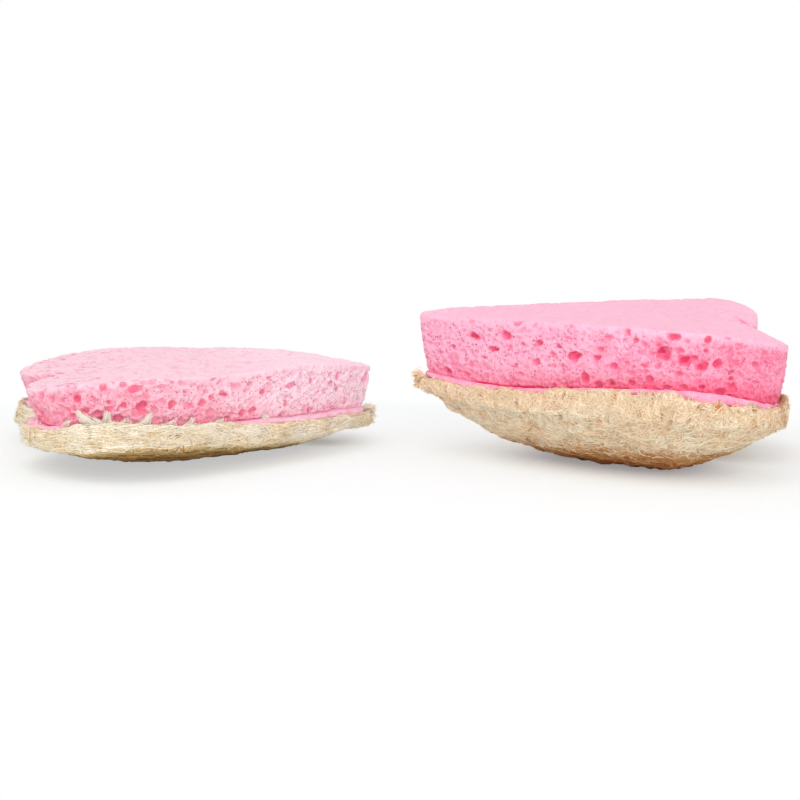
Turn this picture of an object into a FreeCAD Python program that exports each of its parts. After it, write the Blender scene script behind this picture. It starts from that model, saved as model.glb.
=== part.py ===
import FreeCAD, Part
import math
import os
import Sketcher

# A set of two heart-shaped exfoliating sponges, lying side by side with their
# points facing. Each is a stack: loofah pad, thin backing sheet, sponge block.
# Every sponge is drawn in its own frame: the point of the heart at the origin,
# +X toward the lobes, and z = 0 on the surface that it lies on.

doc = FreeCAD.newDocument("exfoliating_sponge")
sizes = doc.addObject("Spreadsheet::Sheet", "sizes")

driving_sizes = (
    # The heart that both blocks are cut to, measured at a block's top face.
    ("heart_length", 107.5, "point to lobe ends"),
    ("heart_width", 98.8, "across the lobes"),
    ("cleft_overlap", 1.6, "how far a lobe's round passes the middle at a block's foot"),
    ("flank_radius", 195.0, "long bowed flank"),
    ("nose_radius", 4.0, "blunt point"),
    ("undercut", 2.6, "how far a block's foot lies inside its top"),
    ("sheet_thickness", 1.0, "backing sheet"),
    ("sheet_lip_width", 1.0, "how far the sheet stands out past a block's foot"),
    ("pad_overhang", 1.5, "how far a pad's rim stands out past the heart"),
    ("pad_flat", 0.5, "depth cut off under a pad, so that it lies still"),
    ("bowl_exponent", 2.4, "exponent of the bowl's rise from its low point"),
    # The thick sponge on the right.
    ("right_height", 19.1, "sponge block"),
    ("right_crown_radius", 2400.0, "long curve of the block's top"),
    ("right_crown_place", 52.0, "highest place, from the point"),
    ("right_bowl_depth", 19.6, "curved underside of the pad"),
    ("right_rim_height", 5.1, "upright rim of the pad"),
    ("right_low_place", 67.5, "lowest place, from the point"),
    ("right_lean_angle", 0.8, "degrees about the heart's long axis"),
    ("right_turn_angle", -0.7, "degrees about Z"),
    # The thinner sponge on the left.
    ("left_height", 15.4, "sponge block"),
    ("left_crown_radius", 350.0, "long curve of the block's top"),
    ("left_crown_place", 44.0, "highest place, from the point"),
    ("left_bowl_depth", 8.0, "curved underside of the pad"),
    ("left_rim_height", 4.7, "upright rim of the pad"),
    ("left_low_place", 53.5, "lowest place, from the point"),
    ("left_lean_angle", 2.1, "degrees about the heart's long axis"),
    ("left_turn_angle", 194.8, "degrees about Z"),
    # How the pair lies.
    ("point_gap", 16.2, "between the two points, along X"),
    ("point_step", 12.3, "how much further back the left point lies"),
    # The sponge's open cells, and the overrun of everything that cuts.
    ("cell_radius", 2.0, "largest open cell on a block's wall"),
    ("overrun", 5.0, "how far a cutting shape passes the solid"),
)
for row, (alias, value, note) in enumerate(driving_sizes, start=1):
    sizes.set(f"A{row}", alias)
    sizes.set(f"B{row}", str(value))
    sizes.set(f"C{row}", note)
    sizes.setAlias(f"B{row}", alias)
doc.recompute()

# Sections of a pad's bowl from its low point to its rim, as shares of the rim.
bowl_shares = (0.14, 0.3, 0.46, 0.62, 0.8, 1.0)

# Open cells on a block's flank: place along the flank from the nose, height on
# the wall, and radius as a share of the largest cell.
flank_cell_shares = (
    (0.10, 0.30, 0.55),
    (0.17, 0.72, 0.80),
    (0.25, 0.66, 0.90),
    (0.31, 0.24, 0.60),
    (0.38, 0.58, 1.00),
    (0.46, 0.36, 0.85),
    (0.53, 0.20, 0.55),
    (0.60, 0.70, 0.60),
    (0.68, 0.28, 0.70),
    (0.76, 0.72, 0.90),
    (0.83, 0.50, 1.00),
    (0.90, 0.34, 0.95),
    (0.96, 0.62, 0.65),
)
# The same round a lobe, from its flank toward the cleft.
lobe_cell_shares = (
    (0.08, 0.40, 0.75),
    (0.17, 0.68, 0.60),
    (0.27, 0.32, 0.80),
    (0.38, 0.60, 0.95),
    (0.50, 0.36, 0.60),
    (0.62, 0.66, 0.70),
)

up = FreeCAD.Vector(0, 0, 1)

# The lobes' rounds still cross at a block's foot, so the cleft is closed there.
lobe_rule = "((sizes.heart_width / 2 + sizes.undercut + sizes.cleft_overlap) / 2)"


def size(alias):
    return float(sizes.get(alias))


def worked_out(expression):
    """Present value of an expression over the sheet."""
    return float(sizes.evalExpression(expression))


def lean(side):
    """The sponge's tilt about its long axis."""
    along = FreeCAD.Vector(1, 0, 0)
    return FreeCAD.Placement(
        FreeCAD.Vector(0, 0, 0), FreeCAD.Rotation(along, size(f"{side}_lean_angle")))


def turn(side):
    """The sponge's place on the surface, turned about its point."""
    point = FreeCAD.Vector(0, 0, 0)
    if side == "left":
        point = FreeCAD.Vector(-size("point_gap"), size("point_step"), 0)
    return FreeCAD.Placement(point, FreeCAD.Rotation(up, size(f"{side}_turn_angle")))


def heart_arcs(nose_x, nose_radius, lobe_x, lobe_y, lobe_radius, flank_radius):
    """Five arcs, counterclockwise: nose, near flank, near lobe, far lobe, far flank."""
    # The far flank's arc touches the nose and the far lobe from outside.
    to_nose = flank_radius - nose_radius
    to_lobe = flank_radius - lobe_radius
    reach = math.hypot(lobe_x - nose_x, lobe_y)
    along = (to_nose ** 2 - to_lobe ** 2 + reach ** 2) / (2 * reach)
    aside = math.sqrt(to_nose ** 2 - along ** 2)
    ahead_x, ahead_y = (lobe_x - nose_x) / reach, lobe_y / reach
    flank_x = nose_x + along * ahead_x + aside * ahead_y
    flank_y = along * ahead_y - aside * ahead_x
    at_nose = math.atan2(-flank_y, nose_x - flank_x)
    at_lobe = math.atan2(lobe_y - flank_y, lobe_x - flank_x)
    at_cleft = math.asin(lobe_y / lobe_radius)
    full_turn = 2 * math.pi
    return (
        (nose_x, 0, nose_radius, at_nose, full_turn - at_nose),
        (flank_x, -flank_y, flank_radius, -at_nose, -at_lobe),
        (lobe_x, -lobe_y, lobe_radius, -at_lobe, at_cleft),
        (lobe_x, lobe_y, lobe_radius, -at_cleft, at_lobe),
        (flank_x, flank_y, flank_radius, at_lobe, at_nose),
    )


def heart_sketch(body, name, level, grow="0 mm", scale="1", low_place="0 mm"):
    """Heart outline in a body, at a level; grown outward, then scaled about low_place."""
    sketch = body.newObject("Sketcher::SketchObject", name)
    base_plane = next(f for f in body.Origin.OriginFeatures if f.Role == "XY_Plane")
    sketch.AttachmentSupport = (base_plane, [""])
    sketch.MapMode = "FlatFace"
    sketch.setExpression("AttachmentOffset.Base.z", level)

    rules = {
        "nose_x": f"{low_place} + ({scale}) * (sizes.nose_radius * 1 mm - {low_place})",
        "nose": f"({scale}) * (sizes.nose_radius * 1 mm + {grow})",
        "lobe_x": f"{low_place} + ({scale}) * ((sizes.heart_length - {lobe_rule})"
                  f" * 1 mm - {low_place})",
        "lobe_y": f"({scale}) * (sizes.heart_width / 2 - {lobe_rule}) * 1 mm",
        "lobe": f"({scale}) * ({lobe_rule} * 1 mm + {grow})",
        "flank": f"({scale}) * (sizes.flank_radius * 1 mm + {grow})",
    }
    now = {key: worked_out(rule) for key, rule in rules.items()}
    arcs = heart_arcs(now["nose_x"], now["nose"], now["lobe_x"], now["lobe_y"],
                      now["lobe"], now["flank"])
    for x, y, radius, start, end in arcs:
        circle = Part.Circle(FreeCAD.Vector(x, y, 0), up, radius)
        sketch.addGeometry(Part.ArcOfCircle(circle, start, end), False)
    nose, near_flank, near_lobe, far_lobe, far_flank = range(len(arcs))
    start, end, centre = 1, 2, 3
    origin, x_axis = -1, -1

    sketch.addConstraint([
        Sketcher.Constraint("Tangent", nose, end, near_flank, start),
        Sketcher.Constraint("Tangent", near_flank, end, near_lobe, start),
        Sketcher.Constraint("Coincident", near_lobe, end, far_lobe, start),
        Sketcher.Constraint("Tangent", far_lobe, end, far_flank, start),
        Sketcher.Constraint("Tangent", far_flank, end, nose, start),
        Sketcher.Constraint("PointOnObject", nose, centre, x_axis),
        Sketcher.Constraint("Symmetric", near_lobe, centre, far_lobe, centre, x_axis),
        Sketcher.Constraint("Equal", near_lobe, far_lobe),
        Sketcher.Constraint("Equal", near_flank, far_flank),
    ])
    sized = {
        "nose_x": Sketcher.Constraint("DistanceX", origin, 1, nose, centre, now["nose_x"]),
        "nose": Sketcher.Constraint("Radius", nose, now["nose"]),
        "lobe_x": Sketcher.Constraint("DistanceX", origin, 1, far_lobe, centre, now["lobe_x"]),
        "lobe_y": Sketcher.Constraint("DistanceY", origin, 1, far_lobe, centre, now["lobe_y"]),
        "lobe": Sketcher.Constraint("Radius", far_lobe, now["lobe"]),
        "flank": Sketcher.Constraint("Radius", far_flank, now["flank"]),
    }
    for key, constraint in sized.items():
        index = sketch.addConstraint(constraint)
        sketch.renameConstraint(index, key)
        sketch.setExpression(f"Constraints.{key}", rules[key])
    return sketch


def loft(body, name, sections, ruled):
    feature = body.newObject("PartDesign::AdditiveLoft", name)
    feature.Profile = sections[0]
    feature.Sections = sections[1:]
    feature.Ruled = ruled
    body.Tip = feature
    return feature


def make_pad(side):
    """Loofah pad: a bowl that swells down from an upright rim, cut flat where it lies."""
    body = doc.addObject("PartDesign::Body", f"{side}_pad_body")
    depth = f"sizes.{side}_bowl_depth"
    low_place = f"sizes.{side}_low_place * 1 mm"
    overhang = "sizes.pad_overhang * 1 mm"
    sections = []
    for step, share in enumerate(bowl_shares):
        rise = f"({depth} * {share} ^ sizes.bowl_exponent - sizes.pad_flat) * 1 mm"
        sections.append(
            heart_sketch(body, f"{side}_bowl_{step}", rise, overhang, str(share), low_place)
        )
    loft(body, f"{side}_bowl_loft", sections, ruled=False)

    top = f"({depth} - sizes.pad_flat + sizes.{side}_rim_height) * 1 mm"
    rim = [
        heart_sketch(body, f"{side}_rim_foot", f"({depth} - sizes.pad_flat) * 1 mm", overhang),
        heart_sketch(body, f"{side}_rim_top", top),
    ]
    loft(body, f"{side}_rim_loft", rim, ruled=True)

    # The pad leans with its sponge, and is cut level with the surface below.
    body.Placement = lean(side)
    kept = doc.addObject("Part::Box", f"{side}_above_surface")
    kept.setExpression("Length", "(sizes.heart_length + 2 * sizes.overrun) * 1 mm")
    kept.setExpression("Width", "(sizes.heart_width + 2 * sizes.overrun) * 1 mm")
    kept.setExpression(
        "Height", f"({depth} + sizes.{side}_rim_height + sizes.overrun) * 1 mm")
    kept.setExpression("Placement.Base.x", "-sizes.overrun * 1 mm")
    kept.setExpression("Placement.Base.y", "-(sizes.heart_width / 2 + sizes.overrun) * 1 mm")
    pad = doc.addObject("Part::MultiCommon", f"{side}_pad")
    pad.Shapes = [body, kept]
    return pad


def make_sheet(side):
    """Backing sheet: a thin heart on the pad, a little wider than the block's foot."""
    body = doc.addObject("PartDesign::Body", f"{side}_sheet_body")
    level = f"(sizes.{side}_bowl_depth - sizes.pad_flat + sizes.{side}_rim_height) * 1 mm"
    grow = "(sizes.sheet_lip_width - sizes.undercut) * 1 mm"
    outline = heart_sketch(body, f"{side}_sheet_outline", level, grow)
    sheet = body.newObject("PartDesign::Pad", f"{side}_sheet_pad")
    sheet.Profile = outline
    sheet.setExpression("Length", "sizes.sheet_thickness * 1 mm")
    body.Tip = sheet
    return body


def block_foot(side):
    """Level of a block's foot."""
    return (size(f"{side}_bowl_depth") - size("pad_flat") + size(f"{side}_rim_height")
            + size("sheet_thickness"))


def open_cells(side):
    """Round hollows in a block's wall, one ball each, for both flanks and lobes."""
    nose_x, lobe_radius = size("nose_radius"), worked_out(lobe_rule)
    lobe_x = size("heart_length") - lobe_radius
    lobe_y = size("heart_width") / 2 - lobe_radius
    arcs = heart_arcs(nose_x, nose_x, lobe_x, lobe_y, lobe_radius, size("flank_radius"))
    nose, near_flank, near_lobe, far_lobe, far_flank = arcs
    # The far side of the heart runs the other way round, and its cells are upside down.
    walls = (
        (near_flank, flank_cell_shares, False),
        (near_lobe, lobe_cell_shares, False),
        (far_flank, flank_cell_shares, True),
        (far_lobe, lobe_cell_shares, True),
    )
    balls = []
    for (x, y, radius, start, end), cells, mirrored in walls:
        for place_share, height_share, radius_share in cells:
            if mirrored:
                place_share, height_share = 1 - place_share, 1 - height_share
            angle = start + (end - start) * place_share
            reach = radius - size("undercut") * (1 - height_share)
            ball_x = x + reach * math.cos(angle)
            ball_y = y + reach * math.sin(angle)
            sag = (ball_x - size(f"{side}_crown_place")) ** 2 / (2 * size(f"{side}_crown_radius"))
            ball_z = block_foot(side) + height_share * (size(f"{side}_height") - sag)
            ball = doc.addObject("Part::Sphere", f"{side}_cell_{len(balls)}")
            ball.setExpression("Radius", f"sizes.cell_radius * {radius_share} * 1 mm")
            outward = FreeCAD.Vector(math.cos(angle), math.sin(angle), 0)
            ball.Placement = FreeCAD.Placement(
                FreeCAD.Vector(ball_x, ball_y, ball_z), FreeCAD.Rotation(up, outward))
            balls.append(ball)
    cells = doc.addObject("Part::Compound", f"{side}_cells")
    cells.Links = balls
    return cells


def make_block(side):
    """Sponge block: undercut walls, a gently crowned top and open cells."""
    body = doc.addObject("PartDesign::Body", f"{side}_block_body")
    foot = (f"(sizes.{side}_bowl_depth - sizes.pad_flat + sizes.{side}_rim_height"
            " + sizes.sheet_thickness) * 1 mm")
    top = f"{foot} + sizes.{side}_height * 1 mm"
    sections = [
        heart_sketch(body, f"{side}_block_foot", foot, "-sizes.undercut * 1 mm"),
        heart_sketch(body, f"{side}_block_top", top),
    ]
    loft(body, f"{side}_block_loft", sections, ruled=True)

    # The crown is the top of a large cylinder that lies across the heart.
    crown = doc.addObject("Part::Cylinder", f"{side}_crown")
    crown.setExpression("Radius", f"sizes.{side}_crown_radius * 1 mm")
    crown.setExpression("Height", "(sizes.heart_width + 2 * sizes.overrun) * 1 mm")
    crown.Placement.Rotation = FreeCAD.Rotation(FreeCAD.Vector(1, 0, 0), 90)
    crown.setExpression("Placement.Base.x", f"sizes.{side}_crown_place * 1 mm")
    crown.setExpression("Placement.Base.y", "(sizes.heart_width / 2 + sizes.overrun) * 1 mm")
    crown.setExpression("Placement.Base.z", f"{top} - sizes.{side}_crown_radius * 1 mm")

    crowned = doc.addObject("Part::MultiCommon", f"{side}_crowned")
    crowned.Shapes = [body, crown]
    block = doc.addObject("Part::Cut", f"{side}_block")
    block.Base = crowned
    block.Tool = open_cells(side)
    return block


nodes = {}
for side in ("right", "left"):
    nodes[f"{side}_loofah_pad"] = make_pad(side)
    nodes[f"{side}_backing_sheet"] = make_sheet(side)
    nodes[f"{side}_sponge_block"] = make_block(side)
for name, node in nodes.items():
    node.Label = name
doc.recompute()

# Where each node goes; a pad has its lean already.
places = {}
extent = FreeCAD.BoundBox()
for name, node in nodes.items():
    side = name.split("_")[0]
    places[name] = turn(side) if name.endswith("pad") else turn(side) * lean(side)
    placed = node.Shape.transformed(places[name].toMatrix())
    extent.add(placed.optimalBoundingBox(False, False))

# The origin is on the surface, under the middle of the pair.
to_middle = FreeCAD.Placement(
    FreeCAD.Vector(-extent.Center.x, -extent.Center.y, 0), FreeCAD.Rotation())
for name, node in nodes.items():
    node.Placement = to_middle * places[name]
doc.recompute()

for thing in doc.Objects:
    if "Invalid" in thing.State or "Error" in thing.State:
        raise RuntimeError(f"{thing.Name} did not build: {thing.State}")
for name, node in nodes.items():
    if node.Shape.isNull() or not node.Shape.isValid():
        raise RuntimeError(f"{name} has no valid shape")
    if len(node.Shape.Solids) != 1 or len(node.Shape.Shells) != 1:
        raise RuntimeError(f"{name} is not one closed solid")

os.makedirs("parts", exist_ok=True)
for name, node in nodes.items():
    node.Shape.exportStep(f"parts/{name}.step")
    box = node.Shape.optimalBoundingBox(False, False)
    print(f"{name}: {node.Shape.Volume:.0f} mm3, x {box.XMin:.2f} to {box.XMax:.2f},"
          f" y {box.YMin:.2f} to {box.YMax:.2f}, z {box.ZMin:.2f} to {box.ZMax:.2f}")
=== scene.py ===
import math
import bpy
import numpy as np
from mathutils import Matrix, Vector


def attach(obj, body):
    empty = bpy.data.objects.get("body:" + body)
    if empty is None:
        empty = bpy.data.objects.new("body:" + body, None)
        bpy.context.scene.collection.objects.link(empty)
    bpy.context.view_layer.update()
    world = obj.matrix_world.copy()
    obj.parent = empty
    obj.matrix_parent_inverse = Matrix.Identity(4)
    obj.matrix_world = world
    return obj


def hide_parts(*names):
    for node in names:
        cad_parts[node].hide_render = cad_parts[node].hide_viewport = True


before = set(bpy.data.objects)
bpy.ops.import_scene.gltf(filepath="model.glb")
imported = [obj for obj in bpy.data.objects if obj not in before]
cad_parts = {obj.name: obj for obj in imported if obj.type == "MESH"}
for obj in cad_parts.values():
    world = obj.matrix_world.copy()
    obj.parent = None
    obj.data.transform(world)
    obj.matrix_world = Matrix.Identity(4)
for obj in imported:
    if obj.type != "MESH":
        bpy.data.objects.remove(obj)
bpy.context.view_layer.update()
mm = 0.001

# Camera, where the photograph was taken: place in mm, pitch below level and roll in radians.
camera = {"place": (3.54, -508.6, 97.68), "pitch": 0.1568, "roll": 0.0195, "lens": 74.9,
          "sensor": 36.0, "pixels": 800}
cameraData = bpy.data.cameras.new("camera")
cameraData.lens = camera["lens"]
cameraData.sensor_width = camera["sensor"]
cameraData.clip_start = 0.01
cameraObject = bpy.data.objects.new("camera", cameraData)
bpy.context.collection.objects.link(cameraObject)
cameraTurn = (Matrix.Rotation(math.pi / 2 - camera["pitch"], 4, "X")
              @ Matrix.Rotation(camera["roll"], 4, "Z"))
cameraObject.matrix_world = Matrix.Translation(Vector(camera["place"]) * mm) @ cameraTurn
bpy.context.scene.camera = cameraObject
focalPixels = camera["lens"] / camera["sensor"] * camera["pixels"]

# The two sponges. Lengths in mm, in each sponge's own frame: u from its point to its lobes,
# v across, w up from the floor. Angles in degrees.
heart = {"length": 107.5, "width": 98.8, "overlap": 1.6, "undercut": 2.6, "flank": 195.0,
         "nose": 4.0, "lip": 1.0, "overhang": 1.5, "sheet": 1.0, "power": 2.4, "flat": 0.5}
sponges = {
    "right": {"height": 19.1, "crownRadius": 2400.0, "crownPlace": 52.0, "bowl": 19.6,
              "rim": 5.1, "low": 67.5, "lean": 0.8, "turn": -0.7, "point": (9.54, 4.26)},
    "left": {"height": 15.4, "crownRadius": 350.0, "crownPlace": 44.0, "bowl": 8.0,
             "rim": 4.7, "low": 53.5, "lean": 2.1, "turn": 194.8, "point": (-6.66, 16.56)},
}
for sponge in sponges.values():
    sponge["padTop"] = sponge["bowl"] - heart["flat"] + sponge["rim"]
    sponge["foot"] = sponge["padTop"] + heart["sheet"]
    sponge["top"] = sponge["foot"] + sponge["height"]


def heartArcs(grow=0.0):  # (centre, radius, from angle, to angle) of point, flanks and lobes
    lobe = (heart["width"] / 2 + heart["undercut"] + heart["overlap"]) / 2
    lobeX, lobeY, noseX = heart["length"] - lobe, heart["width"] / 2 - lobe, heart["nose"]
    toNose, toLobe = heart["flank"] - heart["nose"], heart["flank"] - lobe
    reach = math.hypot(lobeX - noseX, lobeY)
    along = (toNose ** 2 - toLobe ** 2 + reach ** 2) / (2 * reach)
    aside = math.sqrt(toNose ** 2 - along ** 2)
    aheadX, aheadY = (lobeX - noseX) / reach, lobeY / reach
    flankX, flankY = noseX + along * aheadX + aside * aheadY, along * aheadY - aside * aheadX
    atNose = math.atan2(-flankY, noseX - flankX)
    atLobe = math.atan2(lobeY - flankY, lobeX - flankX)
    atCleft = math.asin(lobeY / (lobe + grow))
    flank = heart["flank"] + grow
    return [
        (noseX, 0.0, heart["nose"] + grow, atNose, 2 * math.pi - atNose),
        (flankX, -flankY, flank, -atNose, -atLobe),
        (lobeX, -lobeY, lobe + grow, -atLobe, atCleft),
        (lobeX, lobeY, lobe + grow, -atCleft, atLobe),
        (flankX, flankY, flank, atLobe, atNose),
    ]


def heartDistance(x, y):  # to the outline, negative inside
    best = np.full(x.shape, 1e9)
    signed = np.full(x.shape, -1e9)
    for cx, cy, radius, start, end in heartArcs():
        away = np.hypot(x - cx, y - cy) - radius
        facing = np.mod(np.arctan2(y - cy, x - cx) - start, 2 * math.pi) <= end - start
        ends = [np.hypot(x - cx - radius * math.cos(a), y - cy - radius * math.sin(a))
                for a in (start, end)]
        reach = np.where(facing, np.abs(away), np.minimum(*ends))
        nearer = reach < best
        best = np.where(nearer, reach, best)
        signed = np.where(nearer, np.where(facing, away, -reach), signed)
    return signed


def outwardAt(x, y, step=0.2):  # level directions straight out of the outline
    slope = np.stack([heartDistance(x + step, y) - heartDistance(x - step, y),
                      heartDistance(x, y + step) - heartDistance(x, y - step), 0 * x], 1)
    return slope / np.linalg.norm(slope, axis=1, keepdims=True)


def heartRing(grow, counts):  # points and outward normals round the outline, arc by arc
    points, normals = [], []
    for (cx, cy, radius, start, end), count in zip(heartArcs(grow), counts):
        angles = start + (end - start) * (np.arange(count) + 0.5) / count
        facing = np.stack([np.cos(angles), np.sin(angles)], 1)
        points.append(np.array([cx, cy]) + radius * facing)
        normals.append(facing)
    return np.concatenate(points), np.concatenate(normals)


def smooth(low, high, x):
    t = np.clip((x - low) / (high - low), 0, 1)
    return t * t * (3 - 2 * t)


def readOff(table, u, column=1):  # a table's column at u, or its last one where it has fewer
    columns = list(zip(*table))
    return np.interp(u, columns[0], columns[min(column, len(columns) - 1)])


def spread(rng, ends, power, count=None):  # sizes between two ends, more of the small ones
    small, large = ends
    return small + (large - small) * rng.random(count) ** power


cubeCorners = [(i, j, k) for i in (0, 1) for j in (0, 1) for k in (0, 1)]


def blendCorners(part, valueAt):  # between the eight corners of a cell
    total = 0
    for i, j, k in cubeCorners:
        weight = ((part[0] if i else 1 - part[0]) * (part[1] if j else 1 - part[1])
                  * (part[2] if k else 1 - part[2]))
        total = total + weight * valueAt(i, j, k)
    return total


def noise(points, cell, seed):  # smooth value noise, about -1 to 1
    table = np.random.default_rng(seed).uniform(-1, 1, (32, 32, 32)).astype(np.float32)
    scaled = [p / cell + 100.37 for p in points]
    base = [np.floor(s).astype(np.int32) for s in scaled]
    part = [s - b for s, b in zip(scaled, base)]
    part = [(p * p * (3 - 2 * p)).astype(np.float32) for p in part]
    return 1.6 * blendCorners(part, lambda i, j, k: table[(base[0] + i) & 31, (base[1] + j) & 31,
                                                          (base[2] + k) & 31])


def flatNoise(flat, cell, seed):
    return noise([flat[..., 0], flat[..., 1], 0 * flat[..., 0]], cell, seed)


# How each sponge has warped in drying: (u, lift of the block's top, lift of its foot and, where it
# differs, of the pad) along the edge nearest the viewer and along the far edge, and the drop of the
# near lobe's end, of the point and of the far lobe beside the cleft, in mm. flare is how far the
# block's ends stand out: at the point's top and foot, then at the lobes'. thin is (u, share lost).
warps = {
    "right": {
        "nearSide": -1, "endDrop": (3.6, 2.7, 2.7), "tipDrop": (0, 0, 0), "cleftDrop": (2.2, 0, 0),
        "flare": (0.5, 0.0, 0.5, 1.2),
        "thin": [(0, 0.45), (6.5, 0.4), (9.5, 0.15), (12.5, 0.18), (15.5, 0.11), (20, 0.08), (26, 0)],
        "near": [(0, 0, 0, 0), (16, 0.4, -0.5, -0.5), (26, 1.1, -0.5, -0.5), (34, 1.5, 0.4, 0.4),
                 (44, 2.0, 1.4, 1.4), (54, 1.95, 2.2, 2.1), (64, 1.8, 3.0, 2.2), (70, 1.7, 3.2, 2.1),
                 (76, 1.6, 3.1, 1.9), (84, 1.1, 2.4, 1.3), (92, 0.9, 1.5, 0.7), (98, 1.2, 1.0, 0.5),
                 (103, 1.4, 0.6, 0.5), (107, 0, 0, 0)],
        "far": [(0, 0.6, 0), (8, 0.8, 0), (16, 0.6, 0), (24, 0.3, 0), (34, 0, 0), (60, -0.1, 0),
                (82, 0.4, 0), (90, 1.1, 0.2), (97, 2.2, 0.8), (102, 2.2, 0.8), (106, 1.5, 0.5),
                (108, 0.5, 0)],
    },
    "left": {
        "nearSide": 1, "endDrop": (0, 0, 0), "tipDrop": (0, 1.3, 1.5), "cleftDrop": (0, 0, 0),
        "flare": (0.9, 0.9, 1.7, -0.8),
        "thin": [(0, 0.04), (4, 0.04), (7.6, 0.12), (11.2, 0.13), (15, 0.02), (18, 0)],
        "near": [(0, -0.3, 0), (15, 0.2, -0.6), (25, 0.4, -0.6), (34, -0.3, -0.2), (42, -1.0, 0),
                 (50, -1.1, 0), (58, -1.0, 0), (66, -0.5, 0), (74, 0.5, 0), (81, 1.0, 0),
                 (88, 1.35, 0), (95, 1.2, 0), (101, 0.9, 0), (108, -0.4, 0)],
        "far": [(0, 0.2, 0), (14, 0.9, 0), (24, 1.1, 0), (31, 0.8, 0), (40, 0.3, 0), (50, 0, 0),
                (64, 0.3, 0), (76, 0.9, 0), (92, 0.9, 0), (100, 0.6, 0), (108, 0.3, 0)],
    },
}
# (u, half the width) along one flank, from the point to where its lobe begins.
halfWidth = sorted((p[0], abs(p[1])) for p in heartRing(0.0, (12, 60, 1, 60, 60))[0][-61:])


def settle(side, u, v, w):  # the height that a place has after the warp
    warp, sponge = warps[side], sponges[side]
    toward = v * warp["nearSide"]
    across = toward / (readOff(halfWidth, u) + 0.5)
    atEnd, nearLobe, atTip = smooth(86, 108, u), smooth(-4, 16, toward), smooth(14, 2, u)
    atCleft, farLobe, innerPart = smooth(90, 99, u), smooth(0, -4, toward), smooth(-26, -10, toward)
    drops = zip((1, 2, 3), warp["endDrop"], warp["tipDrop"], warp["cleftDrop"])
    lifts = []
    for column, end, tip, cleft in drops:  # of the top, the foot and the pad
        drop = end * atEnd * nearLobe + tip * atTip + cleft * atCleft * farLobe * innerPart
        lifts.append(readOff(warp["near"], u, column) * smooth(0.1, 0.85, across)
                     + readOff(warp["far"], u, column) * smooth(0.15, 0.8, -across) - drop)
    top, foot, pad = lifts
    # Only the outermost few mm of the foot part from the sheet.
    foot = np.where(w > sponge["foot"] - 0.05,
                    pad + (foot - pad) * smooth(-5.5, -2.8, heartDistance(u, v)), pad)
    low = np.clip(w / sponge["foot"], 0, 1) ** 2
    high = np.clip((w - sponge["foot"]) / sponge["height"], 0, 1.1)
    return w + foot * low * (1 - high) + top * high


def turned(a, b, degrees):  # two coordinates, turned about the third
    c, s = math.cos(math.radians(degrees)), math.sin(math.radians(degrees))
    return a * c - b * s, a * s + b * c


def place(side, points):  # own frame in mm to the shared frame in metres
    sponge = sponges[side]
    u, v, w = points.T
    v, w = turned(v, settle(side, u, v, w), sponge["lean"])
    x, y = turned(u, v, sponge["turn"])
    return np.stack([x + sponge["point"][0], y + sponge["point"][1], w], 1) * mm


def placeAbove(side, points, least):  # likewise, and nothing lower than so many metres
    placed = place(side, points)
    placed[:, 2] = np.maximum(placed[:, 2], least)
    return placed


def pixelRay(side, px, py):  # a photograph pixel's ray, in a sponge's own frame in mm
    sponge, middle = sponges[side], camera["pixels"] / 2
    aim = cameraTurn.to_3x3() @ Vector(((px - middle) / focalPixels, (middle - py) / focalPixels, -1))
    undo = (Matrix.Rotation(-math.radians(sponge["lean"]), 3, "X")
            @ Matrix.Rotation(-math.radians(sponge["turn"]), 3, "Z"))
    start = undo @ (Vector(camera["place"]) - Vector((*sponge["point"], 0)))
    return np.array(start), np.array((undo @ aim).normalized())


def makeObject(name, points, faces, material, slot, replaced=None, **values):
    mesh = bpy.data.meshes.new(name)
    faces = np.asarray(faces, dtype=np.int32)
    count = faces.shape[1]
    mesh.vertices.add(len(points))
    mesh.vertices.foreach_set("co", np.asarray(points, dtype=np.float32).ravel())
    mesh.loops.add(faces.size)
    mesh.loops.foreach_set("vertex_index", faces.ravel())
    mesh.polygons.add(len(faces))
    mesh.polygons.foreach_set("loop_start", np.arange(0, faces.size, count, dtype=np.int32))
    mesh.polygons.foreach_set("use_smooth", np.ones(len(faces), dtype=bool))
    mesh.update()
    mesh.validate()
    mesh.materials.append(material)
    piece = bpy.data.objects.new(name, mesh)
    bpy.context.collection.objects.link(piece)
    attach(piece, "root")
    if replaced:
        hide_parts(replaced)
    for key, value in values.items():  # numbers on the points, for the material to read
        made = mesh.attributes.new(key, "FLOAT", "POINT")
        made.data.foreach_set("value", np.asarray(value, dtype=np.float32).ravel())
    return piece


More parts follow.
